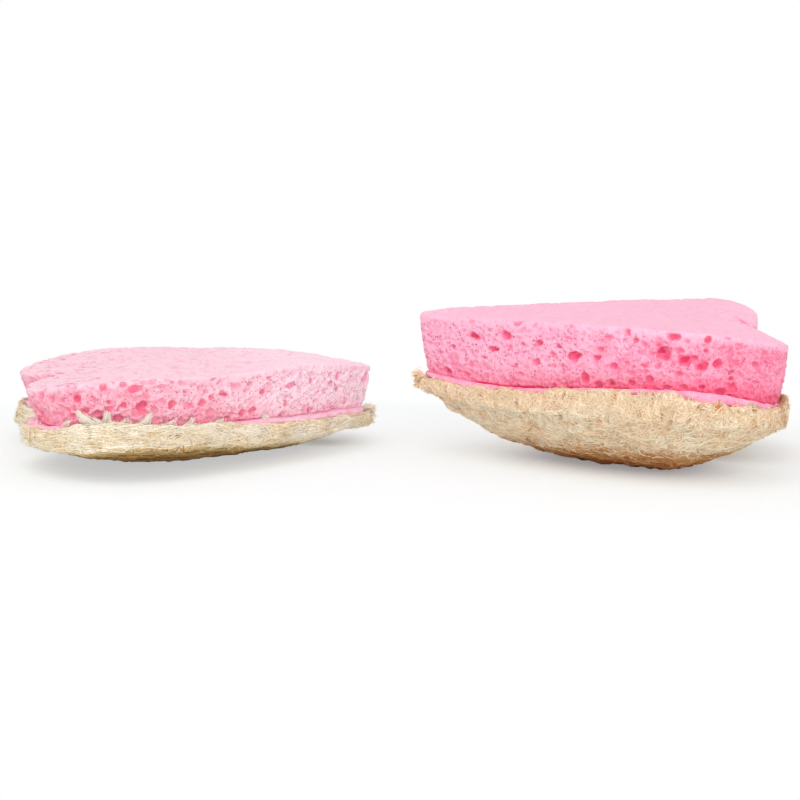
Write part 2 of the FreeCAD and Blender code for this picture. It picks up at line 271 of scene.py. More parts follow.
def surfaceNet(field, low, step):  # quads round the field's negative part
    inside = field < 0
    nx, ny, nz = field.shape
    total = sum(inside[i:nx - 1 + i, j:ny - 1 + j, k:nz - 1 + k].astype(np.int8)
                for i, j, k in cubeCorners)
    cells = np.argwhere((total > 0) & (total < 8))
    index = np.full(total.shape, -1, dtype=np.int32)
    index[tuple(cells.T)] = np.arange(len(cells))
    values = np.stack([field[cells[:, 0] + i, cells[:, 1] + j, cells[:, 2] + k]
                       for i, j, k in cubeCorners], 1)
    where = np.array(cubeCorners, dtype=float)
    middle, hits = np.zeros((len(cells), 3)), np.zeros(len(cells))
    for a in range(8):
        for b in range(a + 1, 8):
            if np.abs(where[a] - where[b]).sum() != 1:
                continue
            crossed = (values[:, a] < 0) != (values[:, b] < 0)
            t = np.where(crossed, values[:, a] / (values[:, a] - values[:, b] + 1e-12), 0)
            middle += np.where(crossed[:, None], where[a] + t[:, None] * (where[b] - where[a]), 0)
            hits += crossed
    points = np.array(low) + (cells + middle / hits[:, None]) * step
    quads = []
    for axis in range(3):
        one, two = (axis + 1) % 3, (axis + 2) % 3
        before, after = [slice(1, -1)] * 3, [slice(1, -1)] * 3
        before[axis], after[axis] = slice(0, -1), slice(1, None)
        a, b = inside[tuple(before)], inside[tuple(after)]
        at = np.argwhere(a != b)
        out = a[tuple(at.T)]
        at = at + 1
        at[:, axis] -= 1
        ring = []
        for back1, back2 in ((1, 1), (0, 1), (0, 0), (1, 0)):
            cell = at.copy()
            cell[:, one] -= back1
            cell[:, two] -= back2
            ring.append(index[tuple(cell.T)])
        quad = np.stack(ring, 1)
        quads.append(np.where(out[:, None], quad, quad[:, ::-1]))
    return points, np.concatenate(quads)


def largest(count, quads):  # the quads of the biggest piece, without stray crumbs
    label = np.arange(count)
    edges = np.concatenate([quads[:, [0, 1]], quads[:, [1, 2]], quads[:, [2, 3]]])
    while True:
        low = np.minimum(label[edges[:, 0]], label[edges[:, 1]])
        new = label.copy()
        np.minimum.at(new, edges[:, 0], low)
        np.minimum.at(new, edges[:, 1], low)
        new = new[new]
        if np.array_equal(new, label):
            break
        label = new
    return quads[label[quads[:, 0]] == np.bincount(label).argmax()]


def sample(field, points, low, step):  # the field's value at free points
    at = (points - low) / step
    base = np.clip(np.floor(at).astype(int), 0, np.array(field.shape) - 2)
    return blendCorners((at - base).T, lambda i, j, k: field[base[:, 0] + i, base[:, 1] + j,
                                                             base[:, 2] + k])


# The sponge blocks: lengths in mm. marked are the cells that the photograph shows, in its pixels:
# (x, y, width, height, tilt in degrees, how deep), and creases the rows of pits in the top:
# (x, y, x, y, pits). scattered are the wall's other cells: (tries, smallest and largest radius,
# spacing, most depth, softness of the rim, share kept towards the point).
blocks = {
    "right": {
        "voxel": 0.42, "seed": 11, "edgeRound": 0.55, "waviness": 0.16, "dimples": 0.2,
        "creases": [(733, 315, 748, 325, 5)],
        "scattered": [(170, 0.75, 1.3, 1.0, 0.25, 0.3, 0.8), (2900, 0.42, 0.85, 0.85, 0.15, 0.12, 1)],
        "topCells": 320, "topRadius": (0.35, 0.8), "calmEdge": 1.6,
        "marked": [
            (674, 338, 15, 8, 0, 0.6), (663, 354, 16, 14, -40, 1), (686, 361, 19, 11, 12, 0.9),
            (702, 368, 11, 17, -30, 0.7), (719, 365, 13, 11, 30, 0.9), (708, 340, 11, 8, 15, 0.5),
            (626, 332, 12, 9, -10, 0.3), (636, 341, 7, 5, 0, 0.6), (600, 350, 9, 6, 0, 0.6),
            (597, 358, 7, 5, 0, 0.7), (613, 366, 8, 5, 0, 0.7), (611, 384, 10, 8, 0, 0.7),
            (632, 384, 10, 9, 60, 0.6), (650, 380, 8, 10, 0, 0.3), (754, 364, 6, 6, 0, 0.4),
            (732, 372, 7, 4, 30, 0.7), (732, 379, 9, 5, 30, 0.6), (473, 337, 15, 9, -5, 0.8),
            (505, 335, 9, 10, 0, 0.7), (539, 343, 8, 6, 0, 0.7), (574, 356, 12, 11, -20, 1),
            (447, 370, 9, 8, 0, 1), (452, 347, 6, 4, 0, 0.7), (491, 349, 11, 5, -5, 0.8),
            (484, 358, 9, 6, 0, 0.35), (535, 362, 9, 12, -15, 0.2), (585, 380, 7, 12, 0, 0.8),
            (598, 385, 10, 6, 0, 0.9), (667, 388, 9, 4, 0, 0.6), (684, 388, 8, 4, 0, 0.5),
            (702, 388, 9, 5, 5, 0.7), (720, 392, 14, 8, 25, 0.6), (733, 389, 8, 12, 30, 0.4),
            (680, 374, 6, 5, 0, 0.7), (707, 352, 4, 4, 0, 0.7), (731, 367, 5, 6, 0, 0.6),
            (473, 322, 11, 5, 0, 0.2), (518, 323, 9, 5, 0, 0.3), (678, 351, 9, 8, 0, 0.15),
            (657, 368, 9, 8, 0, 0.2), (729, 338, 8, 6, 0, 0.3), (731, 352, 6, 5, 0, 0.4),
            (558, 347, 8, 5, 0, 0.4), (521, 343, 7, 4, 0, 0.4), (643, 366, 7, 3, -20, 0.8),
        ],
    },
    "left": {
        "voxel": 0.42, "seed": 23, "edgeRound": 0.5, "waviness": 0.18, "dimples": 0.36,
        "creases": [(61, 373, 98, 364, 14), (60, 361, 75, 358, 5), (46, 373, 57, 369, 5)],
        "scattered": [(1000, 0.6, 1.2, 1.0, 0.25, 0.3, 0.2), (2500, 0.42, 0.85, 0.85, 0.15, 0.12, 1)],
        "topCells": 1500, "topRadius": (0.35, 1.1), "calmEdge": 0.9,
        "marked": [
            (103, 387, 8, 9, 0, 0.7), (124, 385, 9, 6, 0, 0.5), (78, 399, 8, 9, 0, 0.9),
            (142, 406, 11, 9, 20, 0.9), (98, 413, 8, 5, 10, 1), (225, 395, 13, 10, -25, 0.6),
            (265, 392, 10, 8, 0, 0.7), (292, 386, 10, 7, 0, 0.3), (312, 381, 6, 7, 0, 0.6),
            (339, 376, 6, 8, 0, 0.8), (363, 378, 8, 11, 0, 0.4), (331, 383, 8, 7, 0, 0.3),
            (338, 389, 9, 7, 0, 0.4), (325, 391, 7, 5, 0, 0.3), (311, 411, 8, 7, 0, 1),
            (282, 415, 9, 7, 0, 1), (286, 404, 6, 6, 0, 0.7), (316, 402, 6, 6, 0, 0.6),
            (245, 391, 5, 5, 0, 0.8), (212, 397, 6, 7, 0, 0.6), (173, 406, 7, 12, 0, 0.7),
            (52, 399, 9, 9, 0, 0.4), (254, 411, 8, 9, 0, 0.7), (242, 413, 8, 7, 0, 0.8),
            (269, 378, 6, 5, 0, 0.6), (133, 389, 12, 6, 15, 0.5), (187, 392, 7, 8, 0, 0.4),
            (108, 402, 6, 4, 0, 0.9), (124, 406, 8, 8, 0, 0.4), (63, 399, 6, 7, 0, 0.3),
            (84, 411, 10, 6, 15, 0.8), (145, 412, 7, 6, 0, 0.8), (93, 399, 8, 7, -30, 0.2),
            (118, 418, 10, 6, 0, 0.7), (100, 420, 12, 6, 0, 0.7), (203, 403, 6, 9, 10, 0.6),
        ],
    },
}


def topLevel(side, u):
    sponge = sponges[side]
    return sponge["top"] - (u - sponge["crownPlace"]) ** 2 / (2 * sponge["crownRadius"])


def wallInset(side, w):  # the wall leans in towards the foot
    share = np.clip((w - sponges[side]["foot"]) / sponges[side]["height"], 0, 1)
    return heart["undercut"] * (1 - share) ** 1.8


def onWall(side, pixels):  # where the pixels' rays meet the wall, before it settled
    rays = [pixelRay(side, px, py) for px, py in pixels]
    aims = np.array([aim for _, aim in rays])
    reach = np.full(len(aims), 380.0)  # short of both sponges
    for _ in range(60):
        at = rays[0][0] + aims * reach[:, None]
        lifted = 2 * at[:, 2] - settle(side, *at.T)
        wall = heartDistance(at[:, 0], at[:, 1]) + wallInset(side, lifted)
        reach += np.maximum(wall, lifted - topLevel(side, at[:, 0])) * 0.9
    at[:, 2] = lifted
    return at, aims, reach


def wallAxes(out, turn):  # a cell's axes along the wall, up it and out of it
    across = np.cross([0, 0, 1], out)
    first = across * math.cos(turn) + np.array([0, 0, 1]) * math.sin(turn)
    return np.array([first, np.cross(out, first), out])


def levelAxes(c, s):
    return np.array([[c, s, 0], [-s, c, 0], [0, 0, 1]])


def markedCells(side, rng):  # where those pixels' rays meet the wall, with small openings inside
    cells = []
    for px, py, wide, high, tilt, deep in blocks[side]["marked"]:
        at, aim, reach = [found[0] for found in onWall(side, [(px, py)])]
        out = outwardAt(at[:1], at[1:2])[0]
        axes = wallAxes(out, math.radians(tilt) * (1 if out[1] * warps[side]["nearSide"] > 0 else -1))
        perPixel, facing = reach / focalPixels, max(abs(np.dot(out, aim)), 0.35)
        halfWide, halfHigh = 0.55 * wide * perPixel / facing ** 0.6, 0.55 * high * perPixel
        depth = 0.95 * (halfWide + halfHigh) / 2
        outward = 0.66 - 0.86 * deep  # share of the depth that its middle lies outside the wall
        spread = 1 / math.sqrt(1 - min(abs(outward), 0.8) ** 2)
        centre, radii = at + out * depth * outward, (halfWide * spread, halfHigh * spread, depth)
        cells.append((centre, axes, radii, 0.28))
        for _ in range(int(2.5 * max(radii[:2]))):
            lean, around = rng.uniform(0, 0.7), rng.uniform(0, 2 * math.pi)
            spot = radii * np.array([math.sin(lean) * math.cos(around),
                                     math.sin(lean) * math.sin(around), -math.cos(lean)])
            size = rng.uniform(0.4, 0.8)
            cells.append((centre + spot @ axes, axes, (size * 1.2, size, size), 0.12))
    return cells


def scatter(rng, length, low, high, radii, spacing, taken):  # places round the wall that keep apart
    spots = np.array([*taken, *[(0, 0, 0)] * len(radii)], dtype=float)
    count, found = len(taken), []
    for radius in radii:
        for _ in range(10):
            t, w = rng.uniform(0, length), rng.uniform(low, high)
            along = (spots[:count, 0] - t + length / 2) % length - length / 2
            away = np.hypot(along, spots[:count, 1] - w)
            if (away > spacing * (spots[:count, 2] + radius)).all():
                spots[count] = t, w, radius
                count += 1
                found.append((t, w, radius))
                break
    return found


def wallCells(side, rng, marked):  # the rest of the wall's cells, larger ones first
    sizes, foot, top = blocks[side], sponges[side]["foot"], sponges[side]["top"]
    ring, normals = heartRing(0.0, (24, 380, 330, 330, 380))
    lengths = np.concatenate([[0], np.cumsum(np.linalg.norm(np.roll(ring, -1, 0) - ring, axis=1))])
    taken = [(lengths[np.argmin(np.hypot(*(ring - centre[:2]).T))], centre[2], max(radii[:2]))
             for centre, _, radii, soft in marked if soft > 0.2]

    def ringIndex(t):
        return min(np.searchsorted(lengths, t), len(ring)) - 1

    cells = []
    for tries, small, large, spacing, deep, soft, calm in sizes["scattered"]:
        radii = np.sort(spread(rng, (small, large), 1.8, tries))[::-1]
        found = scatter(rng, lengths[-1], foot + 0.2, top - 1.2, radii, spacing, taken)
        found = [f for f in found if f[1] + 0.8 * f[2] < top - sizes["calmEdge"] or rng.random() < 0.12]
        if calm < 1:
            found = [f for f in found if rng.random() < calm or ring[ringIndex(f[0])][0] > 46]
        taken += found
        for t, height, radius in found:
            i = ringIndex(t)
            out = np.array([*normals[i], 0.0])
            on = np.array([*(ring[i] - normals[i] * wallInset(side, height)), height])
            axes = wallAxes(out, rng.uniform(-0.6, 0.6))
            stretch = rng.uniform(1.0, 1.7)
            offset = rng.uniform(-deep, 0.5)  # shallow ones sit further out
            cells.append((on + out * radius * offset, axes,
                          (radius * stretch, radius / stretch ** 0.5, radius * rng.uniform(0.8, 1.2)),
                          soft))
    return cells


def topCells(side, rng):  # small openings all over the top, and the creases' rows of pits
    sizes, cells = blocks[side], []
    for _ in range(sizes["topCells"]):
        u, v = rng.uniform(1, heart["length"] - 1), rng.uniform(-1, 1) * heart["width"] / 2
        if heartDistance(np.array([u]), np.array([v]))[0] > -1.2:
            continue
        radius = spread(rng, sizes["topRadius"], 2.6)
        turn = rng.normal(0, 0.6)
        cells.append((np.array([u, v, topLevel(side, u) + radius * rng.uniform(0, 0.45)]),
                      levelAxes(math.cos(turn), math.sin(turn)),
                      (radius * rng.uniform(1.0, 1.9), radius * 0.85, radius * rng.uniform(0.6, 0.9)),
                      0.2))
    for x0, y0, x1, y1, count in sizes["creases"]:
        share = (np.arange(count) + 0.5) / count
        spots = onWall(side, list(zip(x0 + (x1 - x0) * share, y0 + (y1 - y0) * share)))[0]
        for spot, way in zip(spots, np.gradient(spots, axis=0)):
            long = np.linalg.norm(way[:2])
            cells.append((spot, levelAxes(*(way[:2] / long)),
                          (0.62 * long, rng.uniform(0.55, 0.8), rng.uniform(0.7, 1.0)), 0.1))
    return cells


def plainBlock(side, places, grid):  # distance to the block's skin before any cell, negative inside
    sizes, foot, edge = blocks[side], sponges[side]["foot"], blocks[side]["edgeRound"]
    u, w = grid[0][:, :1, :1], grid[2][:1, :1, :]
    flat = heartDistance(*np.meshgrid(*places[:2], indexing="ij"))
    rough = sizes["waviness"] * (noise(grid, 6.5, sizes["seed"]) + 0.3 * noise(grid, 2.1, 5))
    wall = flat[:, :, None].astype(np.float32) + wallInset(side, w).astype(np.float32) + rough
    cap = w - topLevel(side, u).astype(np.float32) + 0.4 * rough
    rounded = np.hypot(np.maximum(wall + edge, 0), np.maximum(cap + edge, 0)) - edge
    body = np.where((wall > -edge) & (cap > -edge), rounded, np.maximum(wall, cap))
    return np.maximum(body, foot - w), cap


def cutCells(field, cells, places, low, step, bend):  # each an ellipsoid, bent by the noise
    for centre, axes, radii, soft in cells:
        reach = 1.4 * max(radii) + soft + step
        first = np.maximum(np.floor((centre - reach - low) / step).astype(int), 0)
        last = np.minimum(np.ceil((centre + reach - low) / step).astype(int) + 1, field.shape)
        if (last <= first).any():
            continue
        near = tuple(slice(*ends) for ends in zip(first, last))
        du, dv, dw = np.meshgrid(*[at[cut] - middle for at, cut, middle in zip(places, near, centre)],
                                 indexing="ij", sparse=True)
        away = sum(((du * axis[0] + dv * axis[1] + dw * axis[2]) / radius) ** 2
                   for axis, radius in zip(axes, radii))
        hole = -(np.sqrt(away) - 1 + 0.26 * bend[near]) * min(radii)
        part = field[near]
        blend = np.clip(0.5 + 0.5 * (hole - part) / soft, 0, 1)
        part[...] = part * (1 - blend) + hole * blend + soft * blend * (1 - blend)


def makeBlock(side, material):
    sizes, sponge = blocks[side], sponges[side]
    step, seed, foot, margin = sizes["voxel"], sizes["seed"], sponge["foot"], 1.2
    rng = np.random.default_rng(seed)
    low = np.array([-margin, -heart["width"] / 2 - margin, foot - 1.0])
    high = np.array([heart["length"] + margin, heart["width"] / 2 + margin, sponge["top"] + margin])
    places = [start + np.arange(count) * step
              for start, count in zip(low, np.ceil((high - low) / step).astype(int))]
    grid = np.meshgrid(*[at.astype(np.float32) for at in places], indexing="ij")
    body, cap = plainBlock(side, places, grid)
    flatGrid = np.stack(grid[:2], -1)
    dimple = (flatNoise(flatGrid, 2.1, seed + 6) + 0.5 * flatNoise(flatGrid, 0.9, seed + 7)
              + 0.35 * flatNoise(flatGrid, 13.0, seed + 8))
    field = body + sizes["dimples"] * smooth(0.15, 0.95, dimple) * smooth(-2.5, -0.6, cap)
    cells = markedCells(side, rng)
    cells += wallCells(side, rng, cells)
    cells += topCells(side, rng)
    cutCells(field, cells, places, low, step, noise(grid, 1.5, seed + 3))
    field += 0.07 * noise(grid, 1.1, seed + 2)
    field[[0, -1]], field[:, [0, -1]], field[:, :, [0, -1]] = 1.0, 1.0, 1.0
    points, quads = surfaceNet(field, low, step)
    quads = largest(len(points), quads)
    # The foot's middle is glued over, so its faces are left out there.
    hidden = (heartDistance(points[:, 0], points[:, 1]) < -6) & (points[:, 2] < foot + 0.6 * step)
    used, quads = np.unique(quads[~hidden[quads].all(1)], return_inverse=True)
    points, quads = points[used], quads.reshape(-1, 4)
    share = np.clip((points[:, 2] - foot) / sponge["height"], 0, 1)
    tipTop, tipFoot, endTop, endFoot = warps[side]["flare"]
    flared = points.copy()
    flared[:, 0] += ((endFoot + (endTop - endFoot) * share) * smooth(86, 104, points[:, 0])
                     - (tipFoot + (tipTop - tipFoot) * share) * smooth(14, 2, points[:, 0]))
    piece = makeObject(f"{side}_sponge_block_visual", place(side, flared), quads, material,
                       f"{side}_cellulose", f"{side}_sponge_block", along=points[:, 0],
                       depth=-sample(body, points, low, step),
                       level=(points[:, 2] - foot) / (topLevel(side, points[:, 0]) - foot))
    print(side, "block:", len(cells), "cells,", len(quads), "faces")


# Materials. A constant sits on its socket, and another node's output is linked to it.
def linear(colour):
    return tuple(((c / 255 + 0.055) / 1.055) ** 2.4 if c > 10 else c / 3294.6 for c in colour) + (1.0,)


def setInputs(node, inputs):
    for socket, given in inputs.items():
        if isinstance(given, bpy.types.NodeSocket):
            node.id_data.links.new(given, node.inputs[socket])
        else:
            node.inputs[socket].default_value = given


def addNode(tree, kind, inputs, **settings):
    node = tree.nodes.new("ShaderNode" + kind)
    for key, value in settings.items():
        setattr(node, key, value)
    setInputs(node, inputs)
    return node


def treeOf(*given):
    return next(one.id_data for one in given if isinstance(one, bpy.types.NodeSocket))


def mixColour(factor, first, second):
    node = addNode(treeOf(factor, first, second), "Mix", {}, data_type="RGBA", clamp_factor=True)
    setInputs(node, {0: factor, 6: first, 7: second})
    return node.outputs[2]


def painted(base, *layers):  # each layer is a share and the colour that it lays over the last
    for share, colour in layers:
        base = mixColour(share, base, colour)
    return base


def ramp(value, low, high, shape="SMOOTHSTEP"):
    return addNode(value.id_data, "MapRange", {"Value": value, "From Min": low, "From Max": high},
                   clamp=True, interpolation_type=shape).outputs[0]


def combine(kind, first, *others):
    for other in others:
        first = addNode(treeOf(first, other), "Math", {0: first, 1: other}, operation=kind).outputs[0]
    return first


def times(*given):
    return combine("MULTIPLY", *given)


def plus(*given):
    return combine("ADD", *given)


def most(*given):
    return combine("MAXIMUM", *given)


def attribute(tree, name):
    return addNode(tree, "Attribute", {}, attribute_name=name).outputs["Fac"]


def objectPlace(tree):
    return addNode(tree, "TexCoord", {}).outputs["Object"]


def vectorMath(kind, *given):
    return addNode(given[0].id_data, "VectorMath", dict(enumerate(given)), operation=kind)


def cloud(where, scale, detail):
    return addNode(where.id_data, "TexNoise", {"Vector": where, "Scale": scale, "Detail": detail})


def edgeCells(where, scale):
    return addNode(where.id_data, "TexVoronoi", {"Vector": where, "Scale": scale},
                   feature="DISTANCE_TO_EDGE").outputs["Distance"]


def newLook(name):
    material = bpy.data.materials.new(name)
    material.use_nodes = True
    tree = material.node_tree
    tree.nodes.clear()
    shader = addNode(tree, "BsdfPrincipled", {})
    addNode(tree, "OutputMaterial", {0: shader.outputs[0]})
    return material, tree, shader


def finish(shader, colour, roughness, gloss, bump=None, deep=0):  # deep: how far light gets in, m
    setInputs(shader, {"Base Color": colour, "Roughness": roughness, "Specular IOR Level": gloss})
    if bump:
        height, strength, distance = bump
        node = addNode(shader.id_data, "Bump",
                       {"Height": height, "Strength": strength, "Distance": distance})
        setInputs(shader, {"Normal": node.outputs[0]})
    if deep:
        setInputs(shader, {"Subsurface Weight": 0.25, "Subsurface Radius": (1.0, 0.35, 0.45),
                           "Subsurface Scale": deep})


# Foam colours, and how strongly painted shade darkens the foot (at the point, more at the lobes) and
# the top's creases (likewise), the walls are pricked with pinholes darkened as painted shade and
# painted light makes the point paler. deep and cell are painted shade in the cells' hollows, low
# painted shade at the foot, end painted shade towards the lobes and tip painted light towards the
# point.
cellulose = {
    "right": {"footShadeShare": (0.42, 0.5), "creaseShadeShare": (0.05, 0.12), "prick": 0.64, "pointPaintedLight": 0.06, "colours": {
        "light": (253, 179, 203), "mid": (250, 150, 180), "cell": (249, 124, 160),
        "deep": (249, 96, 140), "pinholeShade": (206, 82, 124), "top": (252, 191, 213),
        "tip": (251, 179, 205), "low": (242, 90, 126), "footShadowLine": (222, 46, 90),
        "end": (246, 122, 154), "creaseAndPitShade": (244, 152, 186)}},
    "left": {"footShadeShare": (0.38, 0.36), "creaseShadeShare": (0.34, 0.6), "prick": 0.85, "pointPaintedLight": 0.36, "colours": {
        "light": (250, 198, 212), "mid": (248, 174, 192), "cell": (247, 140, 167),
        "deep": (244, 104, 144), "pinholeShade": (206, 106, 142), "top": (249, 208, 220),
        "tip": (255, 228, 240), "low": (246, 142, 166), "footShadowLine": (224, 80, 118),
        "end": (245, 150, 172), "creaseAndPitShade": (230, 148, 174)}},
}


def pinholes(where, scale):  # each of its own radius
    cells = addNode(where.id_data, "TexVoronoi", {"Vector": where, "Scale": scale})
    size = addNode(where.id_data, "SeparateColor", {0: cells.outputs["Color"]}).outputs[0]
    radius = addNode(where.id_data, "MapRange", {"Value": size, "To Min": -0.12, "To Max": 0.42})
    return ramp(combine("SUBTRACT", radius.outputs[0], cells.outputs["Distance"]), -0.02, 0.14)


def celluloseMaterial(side):
    look = cellulose[side]
    paint = {key: linear(value) for key, value in look["colours"].items()}
    material, tree, shader = newLook(f"{side}_cellulose_look")
    where = objectPlace(tree)
    depth, level, along = [attribute(tree, name) for name in ("depth", "level", "along")]
    warp = cloud(where, 1300.0, 2.0)
    bent = vectorMath("MULTIPLY_ADD", warp.outputs["Color"], (0.0011, 0.0011, 0.0007), where).outputs[0]
    patch = ramp(cloud(where, 170.0, 3.0).outputs[0], 0.38, 0.62)
    ridge = ramp(edgeCells(bent, 560.0), 0.2, 0.02)
    pins = [pinholes(bent, scale) for scale in (620.0, 1050.0, 1700.0)]
    fine = times(most(pins[1], pins[2]), look["prick"])
    # painted shade that darkens the wall towards its foot, stronger towards the lobes and patchy
    footShade = times(plus(times(ramp(along, 15, 65), look["footShadeShare"][1]), look["footShadeShare"][0]),
                 plus(times(ramp(warp.outputs[0], 0.38, 0.62), 0.5), 0.62))
    wall = painted(paint["light"],
                   (patch, paint["mid"]),
                   # painted light towards the point and painted shade towards the lobes
                   (times(ramp(along, 60, 25), 0.75), paint["tip"]),
                   (times(ramp(along, 60, 94), 0.65), paint["end"]),
                   # painted shade towards the foot
                   (times(ramp(level, 0.42, 0.0), footShade), paint["low"]),
                   (times(ridge, ramp(level, -0.3, 0.5), 0.42), paint["top"]),
                   # pinholes darkened as painted shade
                   (times(pins[0], 0.55), paint["cell"]),
                   (fine, paint["pinholeShade"]),
                   # a painted shadow along the foot, where the block meets the sheet
                   (times(ramp(level, 0.06, 0.01), plus(patch, 0.25)), paint["footShadowLine"]))
    drawn = vectorMath("MULTIPLY", where, (0.55, 1.0, 1.0)).outputs[0]  # fine creases of the skin, darkened as painted shade
    creases = times(ramp(cloud(drawn, 560.0, 3.0).outputs[0], 0.55, 0.66),
                    plus(times(ramp(along, 70, 92), look["creaseShadeShare"][1]), look["creaseShadeShare"][0]))
    skin = painted(paint["top"],
                   (times(patch, 0.3), paint["light"]),
                   # the top's pinholes and creases darkened as painted shade
                   (times(most(pins[0], pins[1]), 0.4), paint["mid"]),
                   (creases, paint["creaseAndPitShade"]))
    pointPaintedLight = ramp(along, 58, 22)  # painted light, paler towards the point, with its pinholes left dark as painted shade
    colour = painted(wall,
                     (ramp(level, 0.8, 0.985), skin),
                     # painted shade in the pits below the top's edge and in the cells' hollows, darker
                     # where deeper
                     (times(ramp(depth, 0.08, 0.55), ramp(level, 0.93, 0.975), 0.45), paint["creaseAndPitShade"]),
                     (ramp(depth, 0.08, 1.6), paint["cell"]),
                     (ramp(depth, 1.0, 3.4), paint["deep"]),
                     (times(pointPaintedLight, look["pointPaintedLight"]), paint["tip"]),
                     (times(pointPaintedLight, ramp(level, 0.97, 0.85), fine, 0.7), paint["pinholeShade"]))
    finish(shader, colour, roughness=0.85, gloss=0.2, deep=0.0011,
           bump=(combine("SUBTRACT", 1.0, most(*pins)), 0.6, 0.0003))
    return material


for side in ("right", "left"):
    makeBlock(side, celluloseMaterial(side))


# The backing sheets: a thin wavy layer whose edge shows under the block. Lengths in mm.
# lips: (u, how much further out, how far down) along the edge nearest the viewer.
sheets = {
    "right": {"wave": 0.5, "tear": 0.14, "lift": 0.6, "tipCurl": 0.6, "seed": 4,
              "light": (254, 186, 210), "deep": (247, 150, 184), "fleck": (232, 130, 166),
              "lips": [(0, 1.0, 0.0), (14, 1.2, 0.3), (26, 0.6, 0.1), (40, 0.2, 0), (60, 0, 0),
                       (68, 1.2, -0.3), (76, 1.7, -0.9), (84, 1.7, -0.7), (94, 1.4, -0.1),
                       (101, 0.6, 0), (108, 0, 0)]},
    "left": {"wave": 0.5, "tear": 0.14, "lift": 0.5, "tipCurl": 0.1, "seed": 9,
             "light": (255, 212, 227), "deep": (250, 178, 203), "fleck": (238, 156, 188),
             "lips": [(0, 0.6, 0.2), (12, 1.4, 0.4), (32, 1.5, 0.6), (46, 1.1, 0.4), (56, 0.3, 0),
                      (98, 0.2, 0), (104, 1.4, 0.4), (108, 0.8, 0)]},
}


def backingMaterial(side):
    light, deep, fleck = [linear(sheets[side][key]) for key in ("light", "deep", "fleck")]
    material, tree, shader = newLook(f"{side}_backing_look")
    where = objectPlace(tree)
    grain = cloud(where, 1900.0, 4.0).outputs[0]
    colour = painted(light, (ramp(cloud(where, 260.0, 3.0).outputs[0], 0.35, 0.7), deep),
                     (times(ramp(grain, 0.56, 0.7), 0.7), fleck))
    finish(shader, colour, roughness=0.9, gloss=0.15, deep=0.0015, bump=(grain, 0.7, 0.0003))
    return material


def gridFaces(rings, count):  # quads between rings of points
    i, rows = np.arange(count), np.arange(rings - 1)[:, None] * count
    corners = [rows + i, rows + (i + 1) % count, rows + count + (i + 1) % count, rows + count + i]
    return np.stack(corners, 2).reshape(-1, 4)


def makeSheet(side, material):
    sizes, sponge = sheets[side], sponges[side]
    counts = (16, 260, 200, 200, 260)
    middle = np.array([55.0, 0.0])
    under = [(0.7, 0.0, 0), (0.85, 0.0, 0), (0.93, 0.0, 0), (0.97, 0.0, 0), (1.0, -0.35, 0)]
    edges = [(1.0, 0.0, 0.35), (1.0, 0.0, 0.65)]
    rings = []  # each (share of the plan, mm further out, share of the thickness)
    for share, more, up in under + edges + [(share, more, 1) for share, more, _ in under[::-1]]:
        flat, normals = heartRing(heart["lip"] - heart["undercut"], counts)
        edge = smooth(0.9, 1.0, share)
        ripple = flatNoise(flat, 7.0, sizes["seed"])
        tear = flatNoise(flat, 2.2, sizes["seed"] + 1) + 0.25 * flatNoise(flat, 0.9, sizes["seed"] + 2)
        facing = smooth(0, 0.4, flat[:, 1] * warps[side]["nearSide"] / 10)
        lipOut, lipDown = [readOff(sizes["lips"], flat[:, 0], column) for column in (1, 2)]
        lipDown = np.where(lipDown < 0, lipDown * up, lipDown)  # a lip that curls up grows thicker
        out = more + edge * (sizes["wave"] * ripple + sizes["tear"] * tear + lipOut * facing)
        flat = middle + share * (flat + normals * out[:, None] - middle)
        lift = edge * (sizes["lift"] * 0.5 * (ripple + 0.5 * tear) - lipDown * facing
                       + sizes["tipCurl"] * smooth(14, 0, flat[:, 0]))
        ragged = edge * (0.08 * tear - (1 - up) * 0.25 * (1 + ripple))
        level = sponge["padTop"] + 0.05 + up * (heart["sheet"] + 0.25) + lift + ragged
        rings.append(np.column_stack([flat, level]))
    faces = gridFaces(len(rings), sum(counts))
    makeObject(f"{side}_backing_sheet_visual", place(side, np.concatenate(rings)), faces, material,
               "backing", f"{side}_backing_sheet")
    print(side, "sheet:", len(faces), "faces")


for side in ("right", "left"):
    makeSheet(side, backingMaterial(side))
